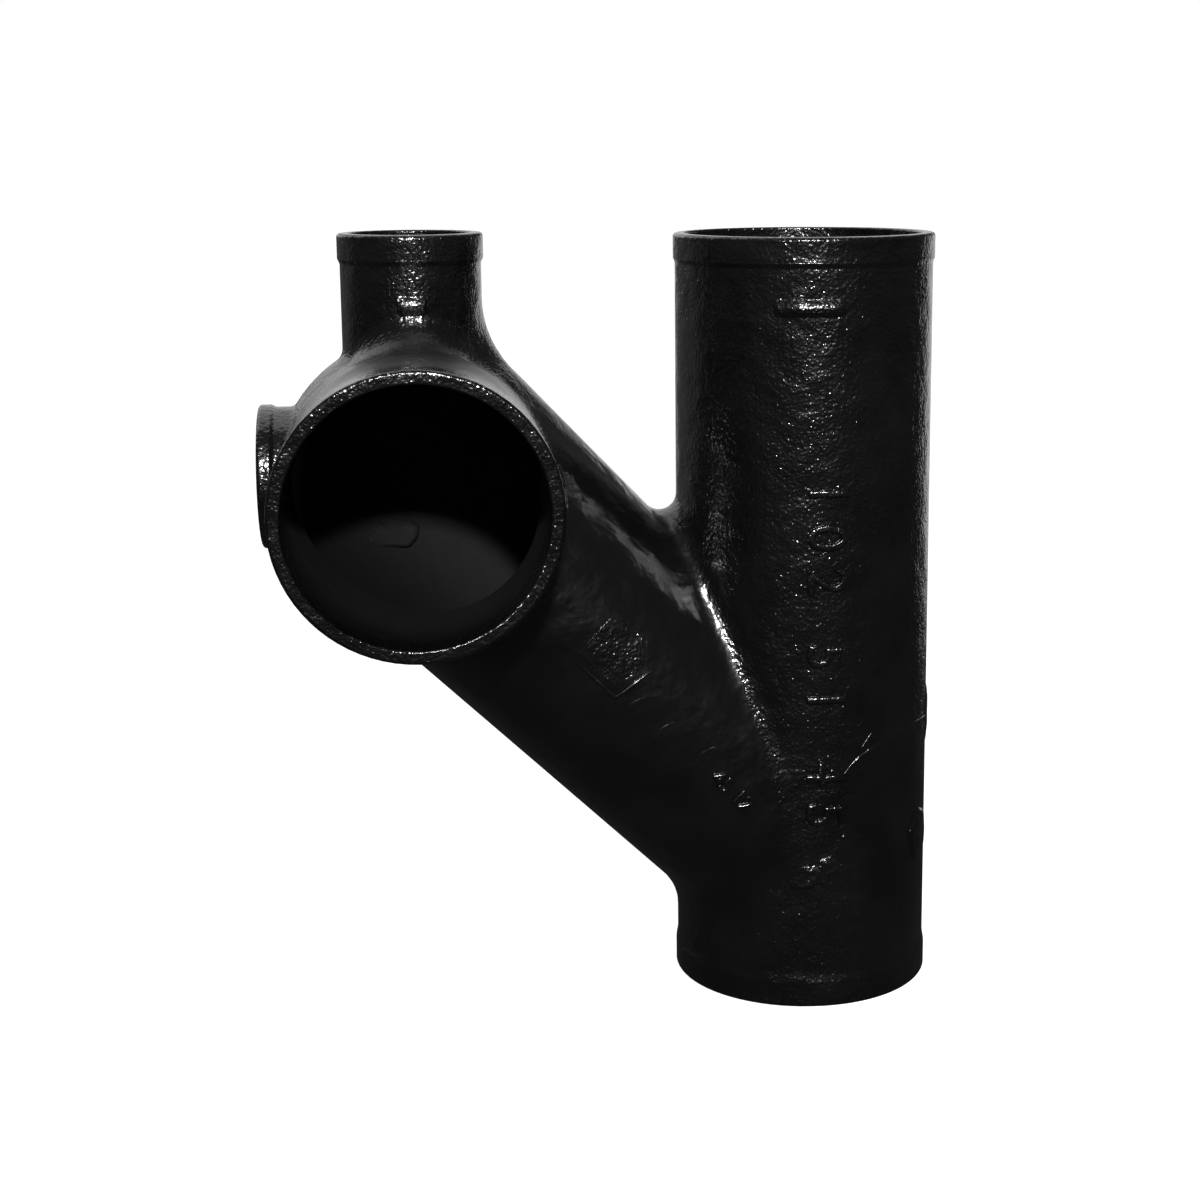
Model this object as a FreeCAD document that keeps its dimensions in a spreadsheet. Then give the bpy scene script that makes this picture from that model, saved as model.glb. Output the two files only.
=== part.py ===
import FreeCAD, Part
import math
import os
import Sketcher

# One-piece iron casting for hubless drain pipe, in millimetres, +Z up. The origin
# is the centre of the stack's bottom end. An upright stack takes a 45 degree
# branch from a closed, domed chamber. The chamber has a large inlet facing -Y, a
# small side inlet facing -X and a small vent rising along +Z. The casting is made
# as the foundry makes it: an outer form with its fillets, less one joined core.

# Driving dimensions, each with the words that go beside it in the sheet.
SIZES = [
    ("stack_length", 330.2, "height of the stack, end to end"),
    ("pipe_radius", 55.63, "outside of a large end, behind its bead"),
    ("pipe_bore", 50.8, "radius of a large passage"),
    ("pipe_bead", 56.4, "outside of a large end's bead"),
    ("small_radius", 29.6, "outside of a small end, behind its bead"),
    ("small_bore", 25.2, "radius of a small passage"),
    ("small_bead", 30.6, "outside of a small end's bead"),
    ("bead_width", 10.3, "length of each bead along its pipe"),
    ("bead_slope", 0.9, "length of the step from pipe to bead"),
    ("side_bead_width", 5.0, "length of the side inlet's bead, whose pipe is short"),
    ("rim_round", 1.6, "rounding of each end's outer edge"),
    ("mouth_round", 0.9, "rounding of each end's inner edge"),
    ("chamber_offset", 168.0, "stack axis to chamber centre, sideways"),
    ("chamber_height", 229.5, "bottom end to chamber centre"),
    ("chamber_radius", 60.7, "outside of the chamber and of the branch there"),
    ("dome_shift", 2.2, "dome centre's place down the branch"),
    ("branch_radius", 54.6, "outside of the branch at the stack axis"),
    ("wall", 5.0, "wall of the branch and of the chamber"),
    ("inlet_reach", 114.0, "chamber centre to the large inlet's end"),
    ("side_reach", 65.5, "chamber centre to the side inlet's end"),
    ("vent_reach", 102.2, "chamber centre to the vent's end"),
    ("upper_crotch", 7.5, "fillet of branch and stack, above"),
    ("lower_crotch", 29.0, "fillet of branch and stack, below"),
    ("inlet_fillet", 12.0, "fillet round the foot of the large inlet"),
    ("vent_fillet", 7.0, "fillet at the foot of the vent, outer side"),
    ("vent_flare", 44.0, "fillet at the foot of the vent, over the branch"),
    ("side_fillet", 3.0, "fillet round the foot of the side inlet"),
    ("core_fillet", 4.0, "rounding where two passages meet"),
    ("lug_setback", 28.7, "end of a pipe to the middle of its lugs"),
    ("lug_width", 2.6, "length of a lug along its pipe"),
    ("lug_rise", 1.2, "how far a lug stands out"),
    ("stack_lug_angle", 26.0, "degrees of the stack that a lug covers"),
    ("stack_lug_turn", -7.5, "degrees from the front to the stack's front lug"),
    ("vent_lug_angle", 20.0, "degrees of the vent that a lug covers"),
    ("pad_side", 23.0, "side of the raised square on the branch"),
    ("pad_rise", 0.8, "how far the raised square stands out"),
    ("pad_place", 104.5, "chamber centre to the square, down the branch"),
    ("pad_angle", 9.0, "degrees from the branch's front up to the square"),
]

# The branch's angle from the stack in degrees, how closely the vent's flare keeps to
# its branch side, and how near two things must be to count as in the same place.
BRANCH_ANGLE = 45
FLARE_POWER = 4
SAME_PLACE = 0.05

UP = FreeCAD.Vector(0, 0, 1)
SIDEWAYS = FreeCAD.Vector(-1, 0, 0)
FORWARD = FreeCAD.Vector(0, -1, 0)

doc = FreeCAD.newDocument("drainage_fitting")
sheet = doc.addObject("Spreadsheet::Sheet", "Sheet")
for row, (alias, value, note) in enumerate(SIZES, start=1):
    sheet.set("A%d" % row, note)
    sheet.set("B%d" % row, str(value))
    sheet.setAlias("B%d" % row, alias)
doc.recompute()


def size(alias):
    """The number that the sheet holds under this alias."""
    return float(sheet.get(alias))


def profile_sketch(body, role, place, turn):
    """A sketch on one of the body's origin planes. place holds expressions for
    its shift in the plane and off it. turn is its angle there, which lays its X
    axis along the limb, so that its Y axis measures the radius."""
    plane = [part for part in body.Origin.OriginFeatures if part.Role == role][0]
    sketch = body.newObject("Sketcher::SketchObject", body.Name + "_profile")
    sketch.AttachmentSupport = [(plane, "")]
    sketch.MapMode = "FlatFace"
    sketch.AttachmentOffset = FreeCAD.Placement(FreeCAD.Vector(), FreeCAD.Rotation(UP, turn))
    for letter, text in zip("xyz", place):
        if text != "0":
            sketch.setExpression("AttachmentOffset.Base." + letter, text)
    return sketch


def drive(sketch, kind, text, *ends):
    """A dimension of the sketch that follows an expression."""
    index = sketch.addConstraint(Sketcher.Constraint(kind, *ends, 1.0))
    sketch.setExpression("Constraints[%d]" % index, text)


def place_corner(sketch, edge, corner):
    """Holds the start of an edge at its place along the limb and its radius."""
    along, radius = corner
    if along == "0":
        sketch.addConstraint(Sketcher.Constraint("PointOnObject", edge, 1, -2))
    else:
        drive(sketch, "DistanceX", along, -1, 1, edge, 1)
    if radius == "0":
        sketch.addConstraint(Sketcher.Constraint("PointOnObject", edge, 1, -1))
    else:
        drive(sketch, "DistanceY", radius, -1, 1, edge, 1)


def draw_corners(sketch, corners):
    """Straight edges through the corners. They start as an even polygon, which
    the dimensions then pull to the places that the expressions give."""
    middle, reach = 40, 30
    count = len(corners)
    edges = [sketch.GeometryCount + k for k in range(count)]
    turns = [2 * math.pi * k / count for k in range(count)]
    start = [FreeCAD.Vector(middle + reach * math.cos(turn), middle + reach * math.sin(turn), 0)
             for turn in turns]
    for k in range(count):
        sketch.addGeometry(Part.LineSegment(start[k], start[(k + 1) % count]), False)
    for k, edge in enumerate(edges):
        after = edges[(k + 1) % count]
        sketch.addConstraint(Sketcher.Constraint("Coincident", edge, 2, after, 1))
        place_corner(sketch, edge, corners[k])


def draw_domed_taper(sketch, dome, root):
    """The branch's section: its axis, its end at the stack, its slanting side
    and the quarter arc of its dome. It starts roughly right, and the dimensions
    then set it."""
    rough, reach = 60, 200
    back, far = FreeCAD.Vector(-rough, 0, 0), FreeCAD.Vector(reach, 0, 0)
    side, top = FreeCAD.Vector(reach, rough, 0), FreeCAD.Vector(0, rough, 0)
    for a, b in ((back, far), (far, side), (side, top)):
        sketch.addGeometry(Part.LineSegment(a, b), False)
    circle = Part.Circle(FreeCAD.Vector(0, 0, 0), UP, rough)
    sketch.addGeometry(Part.ArcOfCircle(circle, math.pi / 2, math.pi), False)
    for edge in range(4):
        after = (edge + 1) % 4
        sketch.addConstraint(Sketcher.Constraint("Coincident", edge, 2, after, 1))
    sketch.addConstraint(Sketcher.Constraint("PointOnObject", 0, 1, -1))
    sketch.addConstraint(Sketcher.Constraint("PointOnObject", 3, 3, -1))
    sketch.addConstraint(Sketcher.Constraint("Vertical", 3, 1, 3, 3))
    drive(sketch, "DistanceX", "Sheet.dome_shift", -1, 1, 3, 3)
    drive(sketch, "Radius", dome, 3)
    place_corner(sketch, 1, ("Sheet.chamber_offset * sqrt(2)", "0"))
    drive(sketch, "DistanceY", root, -1, 1, 2, 1)
    sketch.addConstraint(Sketcher.Constraint("Vertical", 1))


def turn_round(body, sketch):
    """Revolves the sketch once about its own X axis."""
    turned = body.newObject("PartDesign::Revolution", body.Name + "_turned")
    turned.Profile = sketch
    turned.ReferenceAxis = (sketch, ["H_Axis"])
    turned.Angle = 360
    turned.Refine = False
    return body


# Where each limb's sketch lies: its plane, its shift there and its turn.
STACK = ("XZ_Plane", ("0", "0", "0"), 90)
BRANCH = ("XZ_Plane", ("-Sheet.chamber_offset", "Sheet.chamber_height", "0"), -BRANCH_ANGLE)
INLET = ("YZ_Plane", ("0", "Sheet.chamber_height", "-Sheet.chamber_offset"), 180)
SIDE = ("XZ_Plane", ("-Sheet.chamber_offset", "Sheet.chamber_height", "0"), 180)
VENT = ("XZ_Plane", ("-Sheet.chamber_offset", "Sheet.chamber_height", "0"), 90)


def limb(name, where, corners):
    """A round limb with straight-sided section."""
    body = doc.addObject("PartDesign::Body", name)
    sketch = profile_sketch(body, *where)
    draw_corners(sketch, corners)
    return turn_round(body, sketch)


def branch_limb(name, dome, root):
    """The tapered branch with its dome, from expressions for its two radii."""
    body = doc.addObject("PartDesign::Body", name)
    sketch = profile_sketch(body, *BRANCH)
    draw_domed_taper(sketch, dome, root)
    return turn_round(body, sketch)


def beaded_end(reach, radius, bead, width="Sheet.bead_width"):
    """The corners of a spigot, from the last of its plain pipe to its end."""
    return [
        (reach + " - " + width + " - Sheet.bead_slope", radius),
        (reach + " - " + width, bead),
        (reach, bead),
        (reach, "0"),
    ]


def pipe_limb(name, where, reach, radius, *bead):
    """A limb from the chamber centre to a beaded end."""
    corners = [("0", "0"), ("0", radius)] + beaded_end(reach, radius, *bead)
    return limb(name, where, corners)


def core_limb(name, where, start, reach, bore):
    """A plain round core that runs out past its end."""
    finish = reach + " + Sheet.bead_width"
    return limb(name, where, [(start, "0"), (start, bore), (finish, bore), (finish, "0")])


def joined(name, *pieces):
    """One form from several."""
    fuse = doc.addObject("Part::MultiFuse", name)
    fuse.Shapes = list(pieces)
    fuse.Refine = False
    doc.recompute()
    return fuse


def rounded(name, base, choices):
    """Fillets on the base. choices pairs edge numbers with two end radii."""
    fillet = doc.addObject("Part::Fillet", name)
    fillet.Base = base
    fillet.Edges = [(number, first, last) for number, first, last in choices]
    doc.recompute()
    return fillet


def off_axis(point, through, along):
    """Distance of a point from an axis."""
    offset = point.sub(through)
    return offset.sub(along * offset.dot(along)).Length


def spots(edge):
    """Points spread along an edge."""
    shares = (0.02, 0.3, 0.5, 0.7, 0.98)
    span = edge.LastParameter - edge.FirstParameter
    return [edge.valueAt(edge.FirstParameter + span * share) for share in shares]


def on_pipe(edge, through, along, radius):
    """Whether the edge lies on this round pipe."""
    return all(abs(off_axis(spot, through, along) - radius) < SAME_PLACE for spot in spots(edge))


def foot_edges(base, through, along, radius):
    """Edge numbers where a limb of this radius leaves the rest of the form: on
    the limb, and neither straight along it nor a plain ring square to it."""
    found = []
    for number, edge in enumerate(base.Shape.Edges, start=1):
        if edge.Degenerated or not on_pipe(edge, through, along, radius):
            continue
        heights = [spot.sub(through).dot(along) for spot in spots(edge)]
        straight = isinstance(edge.Curve, Part.Line)
        ring = max(heights) - min(heights) < SAME_PLACE and edge.Closed
        if not straight and not ring:
            found.append(number)
    return found


def even(numbers, radius):
    """The same fillet radius on each edge."""
    return [(number, radius, radius) for number in numbers]


def crotch_radii(base, numbers, above, below):
    """Fillet radii that change from the upper crotch to the lower one."""
    choices = []
    for number in numbers:
        edge = base.Shape.Edges[number - 1]
        starts_above = edge.valueAt(edge.FirstParameter).z > edge.valueAt(edge.LastParameter).z
        radii = (above, below) if starts_above else (below, above)
        choices.append((number,) + radii)
    return choices


def flare_radii(base, numbers):
    """Fillet radii that swell from the vent's outer side to its branch side."""
    plain, flare = size("vent_fillet"), size("vent_flare")
    choices = []
    for number in numbers:
        edge = base.Shape.Edges[number - 1]
        radii = []
        for parameter in (edge.FirstParameter, edge.LastParameter):
            lean = (edge.valueAt(parameter).x - centre.x) / size("small_radius")
            radii.append(plain + (flare - plain) * ((1 + lean) / 2) ** FLARE_POWER)
        choices.append((number,) + tuple(radii))
    return choices


def crotch_fillet(name, base, through, radius, above, below):
    """The fillet round the branch's meeting with the stack."""
    numbers = foot_edges(base, through, UP, radius)
    return rounded(name, base, crotch_radii(base, numbers, above, below))


def lug_pair(name, place, end, radius, angle, turn):
    """Two gasket-locating lugs, front and back, a set way from a pipe's end. The
    sketch stands on the pipe's axis, turned about it, and each section is swept
    part way round."""
    body = doc.addObject("PartDesign::Body", name)
    sketch = profile_sketch(body, "YZ_Plane", place, 0)
    about_pipe = FreeCAD.Rotation(FreeCAD.Vector(0, 1, 0), turn)
    sketch.AttachmentOffset = FreeCAD.Placement(FreeCAD.Vector(), about_pipe)
    low = end + " - Sheet.lug_setback - Sheet.lug_width / 2"
    high = end + " - Sheet.lug_setback + Sheet.lug_width / 2"
    root = radius + " - Sheet.wall / 2"
    top = radius + " + Sheet.lug_rise"
    for side in ("", "-"):
        near, far = side + "(" + root + ")", side + "(" + top + ")"
        draw_corners(sketch, [(near, low), (far, low), (far, high), (near, high)])
    turned = body.newObject("PartDesign::Revolution", name + "_turned")
    turned.Profile = sketch
    turned.ReferenceAxis = (sketch, ["V_Axis"])
    turned.Midplane = True
    turned.setExpression("Angle", angle)
    return body


def raised_pad(name):
    """The raised square on the branch: a thicker branch, kept within a block
    that points straight out of the branch's side."""
    skin = branch_limb("pad_skin", "Sheet.chamber_radius + Sheet.pad_rise",
                       "Sheet.branch_radius + Sheet.pad_rise")
    slope = math.radians(BRANCH_ANGLE)
    tilt = math.radians(size("pad_angle"))
    along = FreeCAD.Vector(math.cos(slope), 0, -math.sin(slope))
    above = FreeCAD.Vector(math.sin(slope), 0, math.cos(slope))
    outward = FORWARD * math.cos(tilt) + above * math.sin(tilt)
    across = outward.cross(along)
    half = size("pad_side") / 2
    inner = size("branch_radius") - size("wall") / 2
    corner = (centre + along * (size("pad_place") - half) - across * half + outward * inner)
    block = doc.addObject("Part::Box", "pad_block")
    block.setExpression("Length", "Sheet.pad_side")
    block.setExpression("Width", "Sheet.pad_side")
    block.setExpression("Height", "Sheet.chamber_radius - Sheet.branch_radius + 2 * Sheet.wall")
    block.Placement = FreeCAD.Placement(corner, FreeCAD.Rotation(along, across, outward, "XYZ"))
    doc.recompute()
    pad = doc.addObject("Part::Common", name)
    pad.Base = skin
    pad.Tool = block
    pad.Refine = False
    doc.recompute()
    return pad


def rim_choices(base):
    """The rounding of every open end: more outside, less inside."""
    ends = [foot, UP * size("stack_length"),
            centre + FORWARD * size("inlet_reach"),
            centre + SIDEWAYS * size("side_reach"),
            centre + UP * size("vent_reach")]
    bores = (size("pipe_bore"), size("small_bore"))
    choices = []
    for number, edge in enumerate(base.Shape.Edges, start=1):
        if edge.Degenerated or not isinstance(edge.Curve, Part.Circle):
            continue
        if min(edge.Curve.Center.distanceToPoint(end) for end in ends) > SAME_PLACE:
            continue
        inside = min(abs(edge.Curve.Radius - bore) for bore in bores) < SAME_PLACE
        radius = size("mouth_round") if inside else size("rim_round")
        choices.append((number, radius, radius))
    return choices


foot = FreeCAD.Vector(0, 0, 0)
centre = FreeCAD.Vector(-size("chamber_offset"), 0, size("chamber_height"))

# The outer form, joined and filleted limb by limb.
stack_form = limb(
    "stack_form", STACK,
    [("0", "0"), ("0", "Sheet.pipe_bead"), ("Sheet.bead_width", "Sheet.pipe_bead"),
     ("Sheet.bead_width + Sheet.bead_slope", "Sheet.pipe_radius")]
    + beaded_end("Sheet.stack_length", "Sheet.pipe_radius", "Sheet.pipe_bead"))
branch_form = branch_limb("branch_form", "Sheet.chamber_radius", "Sheet.branch_radius")
inlet_form = pipe_limb("inlet_form", INLET, "Sheet.inlet_reach",
                       "Sheet.pipe_radius", "Sheet.pipe_bead")
side_form = pipe_limb("side_form", SIDE, "Sheet.side_reach",
                      "Sheet.small_radius", "Sheet.small_bead", "Sheet.side_bead_width")
vent_form = pipe_limb("vent_form", VENT, "Sheet.vent_reach",
                      "Sheet.small_radius", "Sheet.small_bead")

trunk = joined("trunk", stack_form, branch_form)
trunk_filleted = crotch_fillet("trunk_filleted", trunk, foot, size("pipe_radius"),
                               size("upper_crotch"), size("lower_crotch"))
with_inlet = joined("with_inlet", trunk_filleted, inlet_form)
inlet_edges = foot_edges(with_inlet, centre, FORWARD, size("pipe_radius"))
inlet_filleted = rounded("inlet_filleted", with_inlet, even(inlet_edges, size("inlet_fillet")))
with_side = joined("with_side", inlet_filleted, side_form)
side_edges = foot_edges(with_side, centre, SIDEWAYS, size("small_radius"))
side_filleted = rounded("side_filleted", with_side, even(side_edges, size("side_fillet")))
with_vent = joined("with_vent", side_filleted, vent_form)
vent_edges = foot_edges(with_vent, centre, UP, size("small_radius"))
vent_filleted = rounded("vent_filleted", with_vent, flare_radii(with_vent, vent_edges))

# The small raised marks that the pattern carries.
stack_lugs = lug_pair("stack_lugs", ("0", "0", "0"), "Sheet.stack_length",
                      "Sheet.pipe_radius", "Sheet.stack_lug_angle", size("stack_lug_turn"))
vent_lugs = lug_pair("vent_lugs", ("0", "0", "-Sheet.chamber_offset"),
                     "Sheet.chamber_height + Sheet.vent_reach",
                     "Sheet.small_radius", "Sheet.vent_lug_angle", 0)
pad = raised_pad("raised_pad")
marked_form = joined("marked_form", vent_filleted, stack_lugs, vent_lugs, pad)

# The core: every passage joined, with its corners eased.
stack_core = core_limb("stack_core", STACK, "-Sheet.bead_width", "Sheet.stack_length",
                       "Sheet.pipe_bore")
branch_core = branch_limb("branch_core", "Sheet.chamber_radius - Sheet.wall",
                          "Sheet.branch_radius - Sheet.wall")
inlet_core = core_limb("inlet_core", INLET, "0", "Sheet.inlet_reach", "Sheet.pipe_bore")
side_core = core_limb("side_core", SIDE, "0", "Sheet.side_reach", "Sheet.small_bore")
vent_core = core_limb("vent_core", VENT, "0", "Sheet.vent_reach", "Sheet.small_bore")
trunk_core = joined("trunk_core", stack_core, branch_core)
trunk_core_eased = crotch_fillet("trunk_core_eased", trunk_core, foot, size("pipe_bore"),
                                 size("core_fillet"), size("core_fillet"))
mouth_core = joined("mouth_core", trunk_core_eased, inlet_core)
mouth_edges = foot_edges(mouth_core, centre, FORWARD, size("pipe_bore"))
mouth_core_eased = rounded("mouth_core_eased", mouth_core, even(mouth_edges, size("core_fillet")))
full_core = joined("full_core", mouth_core_eased, side_core, vent_core)
small_edges = (foot_edges(full_core, centre, UP, size("small_bore"))
               + foot_edges(full_core, centre, SIDEWAYS, size("small_bore")))
core = rounded("core", full_core, even(small_edges, size("core_fillet")))

cored = doc.addObject("Part::Cut", "cored_form")
cored.Base = marked_form
cored.Tool = core
cored.Refine = False
doc.recompute()

casting = rounded("casting", cored, rim_choices(cored))
casting.Label = "fitting_casting"
casting.Placement = FreeCAD.Placement()
doc.recompute()


def sound(thing):
    """Stops with the object's name if it failed or holds no valid shape."""
    if "Invalid" in thing.State or "Error" in thing.State:
        raise RuntimeError("failed: " + thing.Name)
    if hasattr(thing, "Shape") and (thing.Shape.isNull() or not thing.Shape.isValid()):
        raise RuntimeError("bad shape: " + thing.Name)


for thing in doc.Objects:
    if thing.TypeId.startswith("Part") and not thing.TypeId.startswith("PartDesign::Co"):
        sound(thing)
if len(casting.Shape.Solids) != 1:
    raise RuntimeError("the casting is not one solid")

os.makedirs("parts", exist_ok=True)
casting.Shape.exportStep("parts/%s.step" % casting.Label)
box = casting.Shape.BoundBox
print("size", round(box.XLength, 2), round(box.YLength, 2), round(box.ZLength, 2))
print("volume", round(casting.Shape.Volume), "faces", len(casting.Shape.Faces))
print("centre of mass", casting.Shape.Solids[0].CenterOfMass)
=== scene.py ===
import math

import bmesh
import bpy
from mathutils import Matrix, Vector, noise


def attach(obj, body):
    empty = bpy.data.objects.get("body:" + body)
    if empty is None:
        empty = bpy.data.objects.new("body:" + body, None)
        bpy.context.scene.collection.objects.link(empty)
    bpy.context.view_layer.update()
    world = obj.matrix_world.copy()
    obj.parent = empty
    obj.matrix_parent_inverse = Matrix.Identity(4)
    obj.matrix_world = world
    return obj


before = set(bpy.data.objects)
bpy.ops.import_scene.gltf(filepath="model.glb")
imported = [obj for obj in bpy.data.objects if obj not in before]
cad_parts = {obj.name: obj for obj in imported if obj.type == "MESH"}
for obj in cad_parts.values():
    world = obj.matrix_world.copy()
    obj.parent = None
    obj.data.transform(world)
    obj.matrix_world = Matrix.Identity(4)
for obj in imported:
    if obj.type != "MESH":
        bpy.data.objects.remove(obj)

bl_info = {
    "name": "Iron Drain Fitting",
    "version": (1, 0, 0),
    "blender": (4, 5, 0),
    "location": "View3D > Sidebar > Drain Fitting",
    "description": "Coats the cast fitting, adds its cast marks and lights it",
    "category": "Object",
}

# The fitting's own places, in metres: the stack stands on the origin, and the
# branch slopes down to it at 45 degrees from the middle of the chamber.
STACK_LENGTH, VENT_TOP = 0.3302, 0.3317
INLET_REACH, SIDE_REACH = 0.114, 0.0655
STACK_RADIUS, STACK_BEAD = 0.05563, 0.0564
VENT_RADIUS, VENT_BEAD = 0.0296, 0.0306
BEAD_LENGTH, SIDE_BEAD_LENGTH = 0.0103, 0.005
# How far the lugs' middles lie below the pipes' top ends.
LUG_DROP = 0.0287
CORE_RADIUS = 0.0557
CHAMBER = Vector((-0.168, 0, 0.2295))
BRANCH_WIDE, BRANCH_NARROW = 0.0607, 0.0546
BRANCH_LENGTH = -CHAMBER.x * math.sqrt(2)
DOWN_BRANCH = Vector((1, 0, -1)).normalized()
OVER_BRANCH = Vector((1, 0, 1)).normalized()
UP, DOWN = Vector((0, 0, 1)), Vector((0, 0, -1))
FORWARD, LEFT = Vector((0, -1, 0)), Vector((-1, 0, 0))
# The middle of the square pad on the branch.
PAD = CHAMBER + DOWN_BRANCH * 0.1045 + FORWARD * 0.0573 + OVER_BRANCH * 0.0091
# How deep a mark's foot goes into the wall it stands on.
SUNK = 0.001
# A finished piece's faces meet in a sharp edge beyond this angle.
SHARP = math.radians(50)

# The camera: where it stands, which way it faces, and how its frame is cut.
CAMERA_PLACE = Vector((-0.16455, -0.87914, 0.36757))
CAMERA_TURN, CAMERA_TILT, CAMERA_ROLL = (math.radians(a) for a in (-7.071, 10.594, -0.307))
CAMERA_LENS, CAMERA_SHIFT = 61.695, (-0.06423, -0.05944)


def length(name, description, default):
    """A property for a length in metres."""
    return bpy.props.FloatProperty(name=name, description=description, default=default,
                                   min=0, precision=5, unit="LENGTH")


def share(name, description, default):
    """A property for a plain number from 0 to 1."""
    return bpy.props.FloatProperty(name=name, description=description, default=default,
                                   min=0, max=1, precision=4)


def colour(name, description, default):
    """A property for a colour."""
    return bpy.props.FloatVectorProperty(name=name, description=description, size=3,
                                         subtype="COLOR", min=0, max=1, default=default)


class CoatingLook(bpy.types.PropertyGroup):
    """The black coating on the iron."""
    paint: colour("Coating colour", "Colour of the black coating", (0.0014, 0.0014, 0.0014))
    worn: colour("Worn colour", "Colour where the coating is thin", (0.003, 0.003, 0.0029))
    inside: colour("Inside colour", "Colour of the thinner coating in the bores",
                   (0.002, 0.00195, 0.0019))
    gloss: share("Gloss", "How strongly the coating mirrors, head on", 0.8)
    roughness: share("Roughness", "Roughness of the coating outside", 0.22)
    dull_roughness: share("Dull roughness", "Roughness added on the dull shoulder", 0.25)
    inside_roughness: share("Inside roughness", "Roughness in the bores", 0.75)
    inside_tint: share("Inside tint", "Share of the outside's mirroring left in the bores", 0.3)
    grain: length("Grain spacing", "Spacing of the sand grains under the coating", 0.0017)
    grain_height: length("Grain height", "How high the grains stand", 0.000115)
    bead: share("Grain reach", "A grain's radius as a share of the spacing", 0.42)
    smooth_share: share("Smooth share", "Grain height along the branch, as a share", 0.2)
    tooth: length("Tooth size", "Size of the finest roughness", 0.0015)
    tooth_height: length("Tooth height", "Height of the finest roughness", 0.00033)
    peel: length("Ripple size", "Size of the coating's slow ripples", 0.011)
    peel_height: length("Ripple height", "How high the ripples stand", 0.0011)


class MarkSizes(bpy.types.PropertyGroup):
    """The cast figures and marks, and the coats over lugs and edges."""
    stack_figures: bpy.props.StringProperty(
        name="Stack figures", description="Nominal bores cast down the stack",
        default="102 51 45")
    figure_height: length("Figure height", "Height of the figures on the stack", 0.017)
    figure_rise: length("Figure rise", "How far the figures stand out", 0.0013)
    branch_figures: bpy.props.StringProperty(
        name="Branch figures", description="The branch's angle and a batch, cast on it",
        default="45 12")
    small_height: length("Small figure height", "Height of the small figures", 0.007)
    scar_rise: length("Gate scar rise", "How far the ground-off gate stands out", 0.0007)
    lug_coat: length("Lug coat", "How far the coated lugs stand out", 0.0015)
    seam_width: length("Seam width", "Width of the mould's crease", 0.0015)


class StageLook(bpy.types.PropertyGroup):
    """The floor, the surround and the lamp."""
    floor: colour("Floor colour", "Colour of the floor", (0.85, 0.85, 0.85))
    floor_drop: length("Floor drop", "How far the floor lies below the fitting", 0.3)
    key_power: bpy.props.FloatProperty(name="Key power", description="Power of the lamp",
                                       default=75, min=0, unit="POWER")
    surround: share("Surround", "Strength of the light from all round", 0.35)
    front: share("Front of the room", "Brightness of the dark room that the front mirrors", 0.06)
    floor_front: share("Front of the floor", "Brightness of the floor that the front mirrors",
                       0.028)


def add_node(tree, kind, at, **inputs):
    """A node at a place in the tree, with some of its inputs set."""
    made = tree.nodes.new(kind)
    made.location = (at[0] * 200, at[1] * -200)
    for name, value in inputs.items():
        made.inputs[name.replace("_", " ")].default_value = value
    return made


def patterned(tree, coordinates, size, at, detail=2.0, rough=0.5):
    """A noise texture whose features are about this size in metres."""
    texture = add_node(tree, "ShaderNodeTexNoise", at, Scale=1 / size, Detail=detail,
                       Roughness=rough)
    tree.links.new(coordinates, texture.inputs["Vector"])
    return texture


def calculated(tree, kind, at, first, second=None):
    """A Math node on a socket and, where it takes two, another socket or a number."""
    made = add_node(tree, "ShaderNodeMath", at)
    made.operation = kind
    tree.links.new(first, made.inputs[0])
    if isinstance(second, (int, float)):
        made.inputs[1].default_value = second
    elif second:
        tree.links.new(second, made.inputs[1])
    return made.outputs[0]


def passed(tree, kind, at, first, second=None):
    """A Vector Math node on a socket and, where it takes two, another socket or a
    fixed vector. A vector is scaled by a socket that holds a number."""
    made = add_node(tree, "ShaderNodeVectorMath", at)
    made.operation = kind
    tree.links.new(first, made.inputs[0])
    if isinstance(second, bpy.types.NodeSocket):
        tree.links.new(second, made.inputs["Scale" if kind == "SCALE" else 1])
    elif second is not None:
        made.inputs[1].default_value = second
    return made.outputs["Value" if kind in ("LENGTH", "DISTANCE", "DOT_PRODUCT") else 0]


def within(tree, coordinates, passage, at):
    """1 inside a cylinder about its own Z, or inside a ball where it has no ends,
    and 0 outside. A passage is its centre, turn, radius, ends and their softness."""
    centre, turn, radius, low, high, soft = passage
    x, y = at
    blur = 0.0006
    placed = add_node(tree, "ShaderNodeMapping", at, Location=centre, Rotation=turn)
    placed.vector_type = "TEXTURE"
    tree.links.new(coordinates, placed.inputs["Vector"])
    placed = placed.outputs[0]
    counted = (1, 1, 1) if low == high else (1, 1, 0)
    off = passed(tree, "LENGTH", (x + 2, y), passed(tree, "MULTIPLY", (x + 1, y), placed, counted))
    near = add_node(tree, "ShaderNodeMapRange", (x + 3, y), From_Min=radius + blur,
                    From_Max=radius)
    tree.links.new(off, near.inputs["Value"])
    if low == high:
        return near.outputs[0]
    along = passed(tree, "DOT_PRODUCT", (x + 2, y + 0.4), placed, (0, 0, 1))
    middle = calculated(tree, "SUBTRACT", (x + 3, y + 0.4), along, (low + high) / 2)
    away = calculated(tree, "ABSOLUTE", (x + 4, y + 0.4), middle)
    ends = add_node(tree, "ShaderNodeMapRange", (x + 5, y + 0.4), From_Min=(high - low) / 2,
                    From_Max=(high - low) / 2 - soft)
    tree.links.new(away, ends.inputs["Value"])
    return calculated(tree, "MULTIPLY", (x + 6, y), near.outputs[0], ends.outputs[0])


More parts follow.
